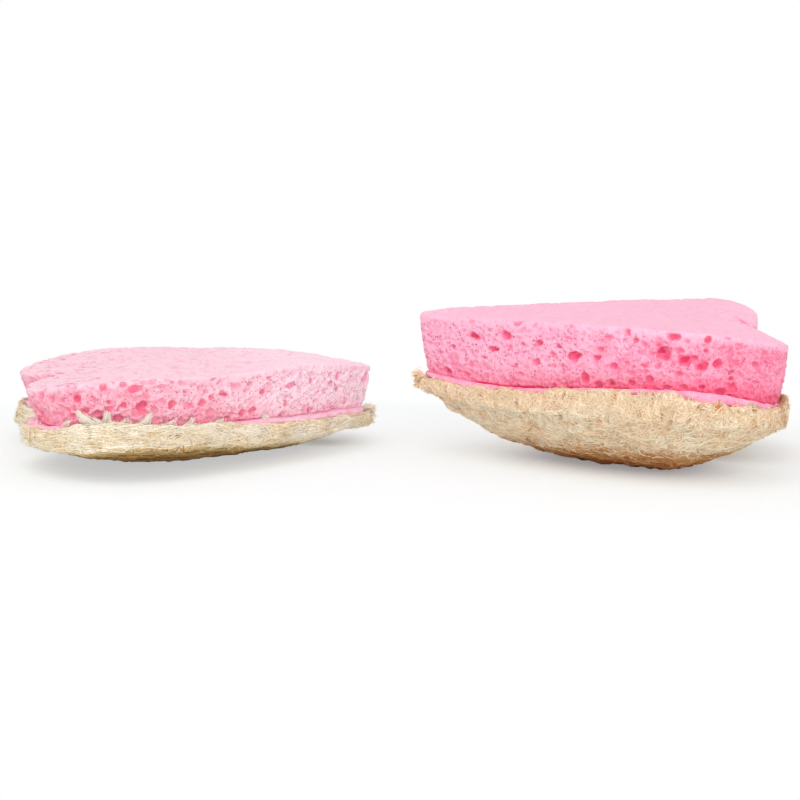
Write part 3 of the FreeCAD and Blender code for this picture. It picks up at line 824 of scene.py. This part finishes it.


# The loofah pads: a matted bowl under a netting of fibres. Lengths in mm, angles in radians.
# lump, sag: how far the skin bulges and the bowl hangs. netStray, bend: how far fibres turn off
# the rim's way. steps: points along a fibre. grain, streak: stretch of the strands and blotches.
# raise: (u, up, out) of the rim nearest the viewer. tones: (share of the height, how pale), darker low
# down, partly a browner underside and partly painted shade under the bowl. shift: (u, how much of the
# height the tones move down), which paints light at the point and moves the painted shade along the
# pad.
# cap: (u, the palest tone), which on the right pad is painted shade at the lobes' end.
# lip: (u, share) where the sheet's edge is bare. tufts: (tip, root, fibres) in the photograph's
# pixels. frays: (u, v, height over the pad, length, fibres, droop) of ragged clumps at the point.
pads = {
    "right": {"seed": 31, "lump": 0.42, "sag": 0.8, "netFibres": 6000, "netLength": (2, 8),
              "netWidth": (0.08, 0.24), "netStray": 0.8, "bend": 0.28, "steps": 6, "grain": 1.0,
              "rimFibres": 3400, "rimLength": (1.2, 3.6), "gapFrom": 0.72, "rimWarm": 0.7,
              "raise": [(0, 0, 0), (12, 0.4, 0.3), (22, 0.5, 0.4), (32, 1.0, 0.4), (58, 1.4, 0.5),
                        (68, 1.3, 0.7), (74, 0.6, 0.9), (86, 0.6, 0.9), (92, 0.4, 0.8),
                        (98, 0.3, 0.3), (103, 0.6, 0.4), (106, 1.8, 0.3), (108, 3.0, 0.2)],
              "shift": [(0, 0.1), (36, 0.08), (60, 0), (108, 0)],
              "cap": [(0, 1.2), (96, 1.2), (105, 0.44), (110, 0.4)],
              "lip": [(66, 0), (71, 1), (92, 1), (96, 0)], "streak": (0.7, 0.7, 1.0),
              "tones": [(0, 0), (0.13, 0.04), (0.25, 0.22), (0.38, 0.46), (0.5, 0.66), (0.8, 0.85),
                        (1, 1)],
              "tufts": [],
              "frays": [(0.4, 0.2, 0.6, 2.4, 110, 0.08), (0.6, -1.1, 0.2, 2.2, 90, -0.05),
                        (0.8, -0.4, -2.2, 2.2, 190, -0.1)]},
    "left": {"seed": 47, "lump": 0.34, "sag": 0.0, "netFibres": 4300, "netLength": (7, 26),
             "netWidth": (0.07, 0.26), "netStray": 0.13, "bend": 0.012, "steps": 9, "grain": 0.2,
             "rimFibres": 1300, "rimLength": (3, 9), "gapFrom": 0.84, "rimWarm": 0.3,
             "raise": [(0, 0.2, 0.3), (12, -0.1, 1.0), (30, -0.2, 1.2), (42, 0.1, 1.0), (50, 0.8, 0.6),
                       (60, 2.4, 0.8), (68, 2.2, 0.9), (74, 2.4, 1.0), (81, 2.9, 1.2), (88, 3.2, 1.2),
                       (94, 2.7, 1.0), (100, 1.0, 0.4), (104, 0.3, 0), (108, 0.5, 0.5)],
             "shift": [(0, 0.34), (10, 0.3), (27, 0.18), (40, 0.1), (52, 0), (64, -0.12), (76, -0.15),
                       (90, -0.06), (98, 0.05), (108, 0.1)],
             "cap": [(0, 1.2), (110, 1.2)],
             "lip": [(4, 0), (8, 1), (44, 1), (54, 0)], "streak": (0.22, 0.22, 1.3),
             "tones": [(0, 0), (0.2, 0.02), (0.38, 0.13), (0.48, 0.24), (0.55, 0.5), (0.64, 0.85),
                       (1, 0.95)],
             "tufts": [((77, 410), (95, 426), 150), ((71, 418), (66, 428), 24),
                       ((107, 411), (110, 426), 90), ((151, 412), (141, 426), 110),
                       ((39, 418), (43, 431), 14), ((193, 417), (188, 426), 50),
                       ((263, 414), (266, 426), 150), ((222, 417), (214, 426), 60),
                       ((127, 417), (124, 426), 40), ((175, 418), (168, 426), 30),
                       ((94, 417), (104, 427), 50)],
             "frays": [(0.2, 0.4, 0.8, 2.2, 150, 0.15), (0.2, 0.6, -1.4, 2.3, 150, 0.0),
                       (0.6, 1.4, -3.4, 2.0, 110, -0.1)]},
}
# gap is painted shade in the mat's openings and between its strands; dark and tan are partly a browner
# underside and partly painted shade low on the bowl.
loofah = {
    "right": {"pale": (255, 240, 214), "mid": (255, 243, 216), "tan": (216, 164, 108),
              "dark": (170, 98, 48), "warm": (255, 222, 184), "gap": (214, 142, 86),
              "shade": (232, 194, 148)},
    "left": {"pale": (255, 248, 235), "mid": (252, 238, 208), "tan": (214, 178, 114),
             "dark": (138, 98, 48), "warm": (253, 228, 184), "gap": (208, 164, 106),
             "shade": (226, 200, 156)},
}
padCounts = (12, 210, 160, 160, 210)  # points of a ring, arc by arc
rimRow = 48  # the ring where the bowl becomes the rim


def padGrid(side):  # points of the pad's skin, ring by ring from under the bowl to its top
    sponge, nearSide, seed = sponges[side], warps[side]["nearSide"], pads[side]["seed"]
    low = np.array([sponge["low"], 0.0])
    rings = []
    for share in np.concatenate([np.linspace(0.02, 0.5, 14), np.linspace(0.52, 1.0, 34)]):
        flat = low + share * (heartRing(heart["overhang"], padCounts)[0] - low)
        fuller = (smooth(28, 46, flat[:, 0]) * smooth(90, 74, flat[:, 0]) * smooth(0.15, 0.35, share)
                  * smooth(1.0, 0.6, share) * smooth(0, 8, flat[:, 1] * nearSide))
        level = sponge["bowl"] * share ** heart["power"] - heart["flat"] - pads[side]["sag"] * fuller
        rings.append(np.column_stack([flat, level]))
    # The rim: (share of its height, how far out, share of what raises it).
    for share, grow, lifted in ((0.2, 1.45, 0.15), (0.4, 1.4, 0.35), (0.6, 1.3, 0.55),
                                (0.8, 1.1, 0.8), (0.93, 0.8, 0.95), (1.0, 0.3, 1.0),
                                (1.0, -0.5, 0.9), (1.0, -1.5, 0.3), (1.0, -3.0, 0.0)):
        flat, normals = heartRing(grow, padCounts)
        facing = smooth(-3, 3, flat[:, 1] * nearSide)
        up, out = [readOff(pads[side]["raise"], flat[:, 0], column) for column in (1, 2)]
        ripple, fine = flatNoise(flat, 9.0, seed + 3), flatNoise(flat, 3.4, seed + 4)
        up = (up + 0.3 * ripple + 0.25 * fine) * facing + (0.6 + 0.9 * ripple) * (1 - facing)
        level = sponge["bowl"] - heart["flat"] + sponge["rim"] * share
        flat = flat + normals * (out * facing * lifted)[:, None]
        rings.append(np.column_stack([flat, level + up * lifted]))
    grid = np.array(rings)
    thin = 1 - readOff(warps[side]["thin"], grid[:, :, 0])
    grid[:, :, 2] = sponge["padTop"] - (sponge["padTop"] - grid[:, :, 2]) * thin
    return grid


def gridNormals(grid):
    along = np.roll(grid, -1, 1) - np.roll(grid, 1, 1)
    across = np.gradient(grid, axis=0)
    normal = np.cross(along, across)
    return normal / (np.linalg.norm(normal, axis=2, keepdims=True) + 1e-9), along / 2, across


def toneOf(side, points):  # how pale: darker low down, partly as painted shade, with shift and cap painting light and shade along the pad
    level = points[..., 2] / sponges[side]["padTop"] + readOff(pads[side]["shift"], points[..., 0])
    return np.minimum(readOff(pads[side]["tones"], level), readOff(pads[side]["cap"], points[..., 0]))


def warmOf(side, points):  # in patches, in small spots and along the rim
    u, v, w = np.moveaxis(points, -1, 0)
    patch = smooth(0.1, 0.9, noise([u, v, w], 7.0, pads[side]["seed"] + 5))
    spots = noise([u / 2.2, v, w], 1.9, pads[side]["seed"] + 9)
    rim = smooth(0.72, 0.95, w / sponges[side]["padTop"])
    return np.maximum(np.maximum(patch * 0.7, pads[side]["rimWarm"] * rim), smooth(0.35, 0.85, spots))


def gapOf(side, points):  # where the mat has opened, mostly near the rim
    where, seed = np.moveaxis(points, -1, 0), pads[side]["seed"]
    start = pads[side]["gapFrom"]
    value = 0.7 * noise(where, 2.1, seed + 7) + 0.4 * noise(where, 1.0, seed + 8)
    high = smooth(0.55, 0.8, where[2] / sponges[side]["padTop"])
    return smooth(start, start + 0.25, value) * (0.25 + 0.75 * high)


def mattedColour(tree, side):  # from how pale and how warm the place is
    paint = {key: linear(value) for key, value in loofah[side].items()}
    tone, warm = attribute(tree, "tone"), attribute(tree, "warm")
    drawn = vectorMath("MULTIPLY", objectPlace(tree), pads[side]["streak"]).outputs[0]
    blotch = times(ramp(cloud(drawn, 480.0, 4.0).outputs[0], 0.5, 0.66),
                   times(ramp(tone, 0.05, 0.5), ramp(tone, 1.12, 0.8)), 0.62)
    return paint, painted(paint["dark"],
                          (ramp(tone, 0.0, 0.25, "LINEAR"), paint["tan"]),
                          (ramp(tone, 0.25, 0.5, "LINEAR"), paint["mid"]),
                          (ramp(tone, 0.5, 1.0, "LINEAR"), paint["pale"]),
                          (times(warm, ramp(tone, 0.25, 0.6), 0.7), paint["warm"]),
                          (blotch, paint["shade"]))


def padMaterial(side):
    material, tree, shader = newLook(f"{side}_loofah_look")
    paint, lit = mattedColour(tree, side)
    where, grain = objectPlace(tree), pads[side]["grain"]
    drawn = vectorMath("MULTIPLY", where, (grain, 1.0, 1.0)).outputs[0]
    warp = cloud(where, 900.0, 3.0).outputs["Color"]
    bent = vectorMath("MULTIPLY_ADD", warp, (0.002, 0.002, 0.002 * grain + 0.0003), drawn).outputs[0]
    strand = ramp(edgeCells(bent, 1100.0), 0.3, 0.05)
    # painted shade: the gap colour lies between the strands and where the mat has opened
    colour = painted(lit, (combine("SUBTRACT", 0.5, times(strand, 0.5)), paint["gap"]),
                     (attribute(tree, "gap"), paint["gap"]))
    finish(shader, colour, roughness=0.9, gloss=0.1, bump=(strand, 0.8, 0.0004))
    return material


def fibreMaterial(side):
    material, tree, shader = newLook(f"{side}_fibre_look")
    paint, lit = mattedColour(tree, side)
    streak = times(ramp(cloud(objectPlace(tree), 1500.0, 2.0).outputs[0], 0.5, 0.72), 0.3)
    finish(shader, mixColour(streak, lit, paint["shade"]), roughness=0.75, gloss=0.2)
    return material


def walk(mat, rows, columns, heading, curve, length, steps, lift, rng):  # fibres over the skin
    skin, normals, along, across = mat
    ringCount, columnCount = skin.shape[:2]
    path, outward = np.zeros((2, steps, len(rows), 3))
    stride = length / (steps - 1)
    for k in range(steps):
        i = np.clip(rows, 0, ringCount - 1.001)
        j = np.mod(columns, columnCount)
        i0, j0 = i.astype(int), j.astype(int)
        j1 = (j0 + 1) % columnCount
        fi, fj = (i - i0)[:, None], (j - j0)[:, None]
        here, outward[k], ahead, aside = [
            (field[i0, j0] * (1 - fj) + field[i0, j1] * fj) * (1 - fi)
            + (field[i0 + 1, j0] * (1 - fj) + field[i0 + 1, j1] * fj) * fi
            for field in (skin, normals, along, across)]
        path[k] = here + outward[k] * lift[k][:, None]
        rows = rows + np.sin(heading) * stride / np.maximum(np.linalg.norm(aside, axis=1), 0.05)
        columns = columns + np.cos(heading) * stride / np.maximum(np.linalg.norm(ahead, axis=1), 0.05)
        rows = np.clip(rows, 0.5, ringCount - 1.01)
        heading = heading + curve * stride + rng.normal(0, 0.06, len(rows)) * np.sqrt(stride)
    return path, outward


def tubes(path, outward, radius, sides=3):  # a prism along each path, thinner at its ends
    steps, count = path.shape[:2]
    tangent = np.gradient(path, axis=0)
    tangent /= np.linalg.norm(tangent, axis=2, keepdims=True) + 1e-9
    side = np.cross(tangent, outward)
    side /= np.linalg.norm(side, axis=2, keepdims=True) + 1e-9
    up = np.cross(side, tangent)
    share = np.linspace(0, 1, steps)[:, None]
    thick = radius[None, :] * (0.35 + 0.65 * np.sin(np.pi * np.clip(share, 0.02, 0.98)) ** 0.5)
    rings = []
    for angle in 2 * math.pi * np.arange(sides) / sides + math.pi / 2:
        rings.append(path + (side * (1.25 * math.cos(angle)) + up * (0.6 * math.sin(angle)))
                     * thick[:, :, None])
    points = np.stack(rings, 2).transpose(1, 0, 2, 3).reshape(-1, 3)  # fibre, step, side
    one = gridFaces(steps, sides)
    faces = (one[None] + (np.arange(count) * steps * sides)[:, None, None]).reshape(-1, 4)
    return points, faces


def makeFibres(side, name, path, outward, radius, tone, warm, material):
    points, faces = tubes(path, outward, radius)
    perFibre = len(points) // len(radius)
    makeObject(f"{side}_loofah_{name}", placeAbove(side, points, 0.00005), faces, material,
               f"{side}_loofah", tone=np.repeat(np.clip(tone, 0, 1), perFibre),
               warm=np.repeat(warm, perFibre))
    print(side, name, "of", len(radius), "fibres:", len(faces), "faces")


def offLip(side, path, rng):  # which fibres stay clear of the sheet's bare edge
    bare = readOff(pads[side]["lip"], path[..., 0]) * (path[..., 1] * warps[side]["nearSide"] > 0)
    rim = sponges[side]["padTop"] + readOff(pads[side]["raise"], path[..., 0])
    over = (bare > 0.5) & (path[..., 2] > rim + 0.1)
    return ~over.any(0) | (rng.random(path.shape[1]) < 0.12)


def alongRim(rng, stray, count):  # headings along the rim, either way round
    return rng.normal(0, stray, count) + math.pi * rng.integers(0, 2, count)


def makeNet(side, mat, material, rng):  # fibres that wander over the skin
    sizes, count = pads[side], pads[side]["netFibres"]
    rows = rimRow + 5 - (rimRow - 8) * rng.random(count) ** 1.15
    columns = rng.uniform(0, mat[0].shape[1], count)
    heading = alongRim(rng, sizes["netStray"], count)
    length = spread(rng, sizes["netLength"], 1.6, count)
    share = np.linspace(0, 1, sizes["steps"])[:, None]
    lift = (rng.uniform(-0.06, 0.12, count) + rng.uniform(0.0, 0.2, count) * np.sin(np.pi * share)
            + 0.05 * np.sin(share * rng.uniform(6, 16, count) + rng.uniform(0, 6, count)))
    path, outward = walk(mat, rows, columns, heading, rng.normal(0, sizes["bend"], count), length,
                         sizes["steps"], lift, rng)
    radius = spread(rng, sizes["netWidth"], 1.5, count)
    kept = offLip(side, path, rng) & (rng.random(count) > 0.92 * gapOf(side, path.mean(0)))
    path, outward, radius = path[:, kept], outward[:, kept], radius[kept]
    tone = toneOf(side, path.mean(0))
    tone = tone + rng.normal(0, 1, len(radius)) * (0.05 + 0.13 * smooth(0.1, 0.5, tone))
    makeFibres(side, "net", path, outward, radius, tone, warmOf(side, path.mean(0)), material)


def rimPaths(side, mat, steps, rng):  # short fibres off the rim that lap over the sheet's edge
    sizes, count = pads[side], pads[side]["rimFibres"]
    rows = rng.uniform(rimRow - 6, rimRow + 7, count)
    columns = rng.uniform(0, mat[0].shape[1], count)
    heading = rng.uniform(0, 2 * math.pi, count)
    if side == "left":  # its fibres run along the rim
        heading = alongRim(rng, 0.5, count)
    length = spread(rng, sizes["rimLength"], 1.5, count)
    share = np.linspace(0, 1, steps)[:, None]
    lift = (rng.uniform(-0.1, 0.2, count) + rng.uniform(0.0, 0.75, count) * share ** 1.5
            + rng.uniform(0.0, 0.3, count) * np.sin(np.pi * share))
    path, outward = walk(mat, rows, columns, heading, rng.normal(0, 0.35, count), length, steps,
                         lift, rng)
    kept = offLip(side, path, rng)
    return path[:, kept], outward[:, kept]


def tuftPath(side, tip, root, count, share, rng):  # loose ends that stand up over the block's foot
    roots = np.array(root) + rng.normal(0, 1, (count, 2)) * [rng.uniform(2.5, 5), 0.8]
    tips = np.array(tip) + rng.normal(0, 1, (count, 2)) * [1.3, 0.7]
    tips = roots + (tips - roots) * (0.25 + 0.75 * rng.random((count, 1)) ** 0.8)
    start, end = [onWall(side, pixels)[0] for pixels in (roots, tips)]
    outward = outwardAt(end[:, 0], end[:, 1])
    path = start * (1 - share) + end * share
    path = path + rng.normal(0, 0.12, (1, count, 3)) * np.sin(math.pi * share)
    out = rng.uniform(0.1, 0.9, (1, count, 1)) + 0.5 * np.sin(math.pi * share)
    return path + outward * out, np.broadcast_to(outward, path.shape)


def frayPath(side, u, v, up, length, count, droop, share, rng):  # a ragged clump at the point
    middle = np.array([u, v, sponges[side]["padTop"] + up])
    start = middle + rng.normal(0, 1, (count, 3)) * [0.7, 1.1, 0.45]
    turn, tilt = rng.normal(0, 0.45, count), rng.normal(droop, 0.2, count)
    aim = np.stack([-np.cos(turn), np.sin(turn), np.sin(tilt)], 1)
    reach = (length * rng.uniform(0.4, 1.0, count))[:, None]
    curl = rng.uniform(-0.4, 0.4, (count, 3)) * reach
    path = start + aim * reach * share + curl * share * (1 - share)
    return path, np.broadcast_to([0.01, 0.01, 1.01], path.shape)


def makeFuzz(side, mat, material, rng):  # rim fibres, tufts and frays in one piece
    sizes, steps = pads[side], 6  # steps: points along a fibre
    share = np.linspace(0, 1, steps)[:, None, None]
    paths = [rimPaths(side, mat, steps, rng)]
    paths += [tuftPath(side, *tuft, share, rng) for tuft in sizes["tufts"]]
    paths += [frayPath(side, *fray, share, rng) for fray in sizes["frays"]]
    first = paths[0][0].shape[1]
    last = first + sum(tuft[2] for tuft in sizes["tufts"])
    path, outward = [np.concatenate(parts, 1) for parts in zip(*paths)]
    count = path.shape[1]
    thick = np.ones(count)
    thick[first:last], thick[last:] = 0.8, 1.4
    tone = toneOf(side, path.mean(0)) + rng.normal(0, 0.12, count)
    warm = warmOf(side, path.mean(0))
    tone[first:last], warm[first:last] = 1.0, 0.0
    makeFibres(side, "rim_fuzz", path, outward, rng.uniform(0.07, 0.16, count) * thick, tone, warm,
               material)


def makePad(side, material, fibreLook):
    sizes, grid = pads[side], padGrid(side)
    seed, where, gaps = sizes["seed"], np.moveaxis(grid, -1, 0), gapOf(side, grid)
    normals, along, across = gridNormals(grid)
    lumps = (noise(where, 4.5, seed) + 0.6 * noise(where, 1.6, seed + 1)
             + 0.3 * noise(where, 0.8, seed + 2))
    skin = grid + normals * (sizes["lump"] * lumps - 0.1 - 0.6 * gaps)[..., None]
    # The skin is a little darker than the fibres over it: painted shade under them.
    pad = makeObject(f"{side}_loofah_pad_visual", placeAbove(side, skin.reshape(-1, 3), 0.0001),
                     gridFaces(*grid.shape[:2]), material, f"{side}_loofah", f"{side}_loofah_pad",
                     tone=toneOf(side, grid) - 0.08, warm=warmOf(side, grid), gap=gaps)
    rng = np.random.default_rng(seed)
    mat = skin, normals, along, across
    makeNet(side, mat, fibreLook, rng)
    makeFuzz(side, mat, fibreLook, rng)


for side in ("right", "left"):
    makePad(side, padMaterial(side), fibreMaterial(side))


# Floor, world and lamps, in metres: each lamp's (place, size, strength). Strengths are those at
# which a colour renders about as written. The floor turns white with distance and glows a little,
# least at its contacts: (place, distances where that starts and ends, least glow).
studio = {
    "sky": 0.78,
    "lamps": {"key": ((-0.35, -0.55, 1.0), 0.9, 3.5), "fill": ((0.25, -1.15, 0.4), 1.0, 5.1)},
    "floor": (247, 251, 251), "clearFrom": 0.065, "clearTo": 0.125, "glow": 0.5,
    "contacts": [((0.074, 0.0, 0.0), 0.015, 0.05, 0.26), ((0.111, 0.022, 0.0), 0.012, 0.034, 0.02),
                 ((-0.02, 0.028, 0.0), 0.005, 0.02, 0.08)],
}
white = (1, 1, 1, 1)


def seenDirectly(tree):
    ray = addNode(tree, "LightPath", {})
    return most(ray.outputs["Is Camera Ray"], ray.outputs["Is Glossy Ray"])


def makeFloor():
    bpy.ops.mesh.primitive_plane_add(size=12, location=(0, 0, 0))
    floor = bpy.context.active_object
    floor.name = "studio_floor"
    material, tree, shader = newLook("studio_floor_look")
    finish(shader, linear(studio["floor"]), roughness=0.9, gloss=0.0)
    where = objectPlace(tree)
    away = vectorMath("LENGTH", vectorMath("MULTIPLY", where, (0.5, 1.0, 0.0)).outputs[0])
    clear = ramp(away.outputs["Value"], studio["clearFrom"], studio["clearTo"])
    glow = studio["glow"]
    for spot, start, end, least in studio["contacts"]:
        near = ramp(vectorMath("DISTANCE", where, spot).outputs["Value"], start, end)
        glow = combine("MINIMUM", plus(times(near, studio["glow"] - least), least), glow)
    shine = addNode(tree, "Emission", {"Color": white, "Strength": 1.0})
    mix = addNode(tree, "MixShader", {0: times(most(clear, glow), seenDirectly(tree)),
                                      1: shader.outputs[0], 2: shine.outputs[0]})
    output = next(node for node in tree.nodes if node.type == "OUTPUT_MATERIAL")
    setInputs(output, {0: mix.outputs[0]})
    floor.data.materials.append(material)


def makeLamp(name, where, size, power):
    data = bpy.data.lights.new(name, "AREA")
    data.size = size
    data.energy = power
    lamp = bpy.data.objects.new(name, data)
    lamp.location = where
    lamp.rotation_euler = (Vector((0, 0, 0.02)) - Vector(where)).to_track_quat("-Z", "Y").to_euler()
    bpy.context.collection.objects.link(lamp)


def makeWorld():  # a soft sky for the object, and plain white behind it
    world = bpy.data.worlds.new("studio")
    bpy.context.scene.world = world
    world.use_nodes = True
    tree = world.node_tree
    tree.nodes.clear()
    sky, blank = [addNode(tree, "Background", {"Color": white, "Strength": strength})
                  for strength in (studio["sky"], 1.0)]
    mix = addNode(tree, "MixShader", {0: seenDirectly(tree), 1: sky.outputs[0], 2: blank.outputs[0]})
    addNode(tree, "OutputWorld", {0: mix.outputs[0]})


makeFloor()
for name, (where, size, power) in studio["lamps"].items():
    makeLamp(name, where, size, power)
makeWorld()
bpy.context.scene.view_settings.view_transform = "Standard"
print("studio: floor, lamps and world made")
